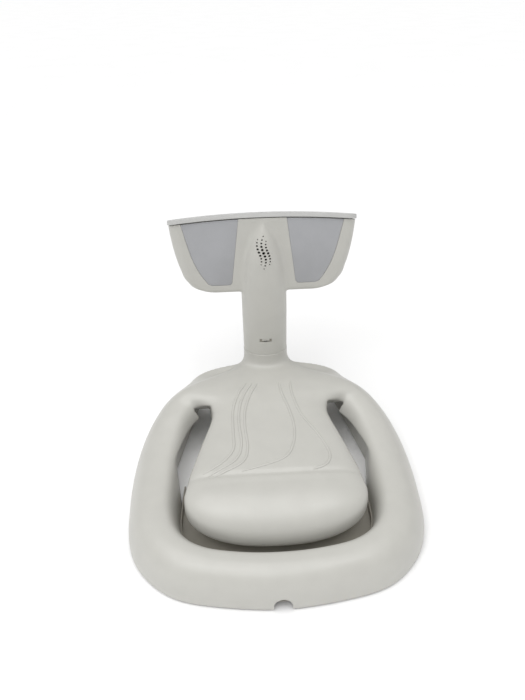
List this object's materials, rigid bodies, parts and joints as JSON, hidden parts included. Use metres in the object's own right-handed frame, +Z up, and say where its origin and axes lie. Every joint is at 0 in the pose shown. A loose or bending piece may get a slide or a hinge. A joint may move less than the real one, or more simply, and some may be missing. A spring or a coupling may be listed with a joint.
{
  "type": "baby swing stand",
  "caption": "Electric baby swing stand: hollow ring base with a tongue, upright column, and a wide head whose domed carrier sways to carry a seat.",
  "frame": {"origin": "on the floor, in the left-right middle, under the middle of the stand's front-to-back length", "axes": "+Z up, -Y towards the front of the stand, +X to the right of a person who faces it"},
  "size_m": [0.5768, 0.6486, 0.4991],
  "materials": {
    "bearing_steel": "ground steel",
    "brass": "turned",
    "carrier_grey": "satin moulded ABS, mid grey",
    "cast_metal": "as cast",
    "circuit_board": "glass-epoxy board with green mask",
    "dark_steel": "black powder coat",
    "fastener_steel": "zinc-plated",
    "foam_black": "closed-cell foam",
    "inlay_grey": "satin moulded ABS, blue-grey",
    "moulded_dark": "satin moulded ABS, dark grey-brown",
    "moulded_white": "satin moulded ABS, off-white",
    "nylon": "natural moulded nylon",
    "paper_cone": "pressed black cone",
    "plated_steel": "nickel-plated sheet",
    "rubber": "moulded",
    "zinc_steel": "zinc-plated steel"
  },
  "bodies": {
    "stand": {"ballast_left": "cast_metal", "ballast_right": "cast_metal", "base_screws": "fastener_steel", "base_top_shell": "moulded_white", "bearing_block": "cast_metal", "block_bolts": "fastener_steel", "board_screws": "fastener_steel", "button_switch": "moulded_dark", "column_front_shell": "moulded_white", "column_post": "zinc_steel", "column_rear_shell": "moulded_white", "column_screws": "fastener_steel", "dc_jack": "moulded_dark", "drive_board": "circuit_board", "drive_board_pillars": "nylon", "drive_motor": "plated_steel", "floor_tray": "moulded_dark", "foot_front_left": "rubber", "foot_front_right": "rubber", "foot_rear_centre": "rubber", "foot_rear_left": "rubber", "foot_rear_right": "rubber", "gear_box": "cast_metal", "left_panel": "inlay_grey", "lower_bearing_outer": "bearing_steel", "main_board": "circuit_board", "mechanism_plate": "zinc_steel", "port_hood": "moulded_white", "post_bolts": "fastener_steel", "post_bracket": "dark_steel", "post_head": "cast_metal", "right_panel": "inlay_grey", "ring_bottom_cover": "moulded_dark", "speaker_cone": "paper_cone", "speaker_driver": "dark_steel", "speaker_gasket": "foam_black", "tongue_bottom_cover": "moulded_white", "upper_bearing_outer": "bearing_steel", "usb_bezel": "moulded_dark", "usb_board": "circuit_board", "usb_socket": "plated_steel"},
    "carrier": {"seat_carrier": "carrier_grey", "seat_inserts": "brass", "carrier_bolts": "fastener_steel", "swing_shaft": "bearing_steel", "sector_gear": "nylon", "circlip": "dark_steel", "shaft_spacers": "nylon", "upper_bearing_inner": "bearing_steel", "lower_bearing_inner": "bearing_steel"},
    "ball_cages": {"upper_bearing_balls": "bearing_steel", "lower_bearing_balls": "bearing_steel"},
    "drive_pinion": {"pinion": "nylon", "motor_shaft": "bearing_steel"},
    "button": {"power_button": "carrier_grey"}
  },
  "joints": [
    {"name": "swing", "type": "hinge", "parent": "stand", "child": "carrier", "pos_m": [0, 0.271, 0.483], "axis": [0, 0.3256, 0.9455], "range_deg": [-14, 14]},
    {"name": "ball_roll", "type": "hinge", "parent": "stand", "child": "ball_cages", "pos_m": [0, 0.271, 0.483], "axis": [0, 0.3256, 0.9455], "range_deg": [-6, 6]},
    {"name": "pinion_turn", "type": "hinge", "parent": "stand", "child": "drive_pinion", "pos_m": [-0.078, 0.271, 0.483], "axis": [0, 0.3256, 0.9455], "range_deg": [-78, 78]},
    {"name": "power_press", "type": "slide", "parent": "stand", "child": "button", "axis": [0, -1, 0], "range_m": [0, 0.0015], "stiffness_N_per_m": 400}
  ],
  "couplings": [
    {"joint": "pinion_turn", "follows": "swing", "ratio": -5.5},
    {"joint": "ball_roll", "follows": "swing", "ratio": 0.4}
  ]
}
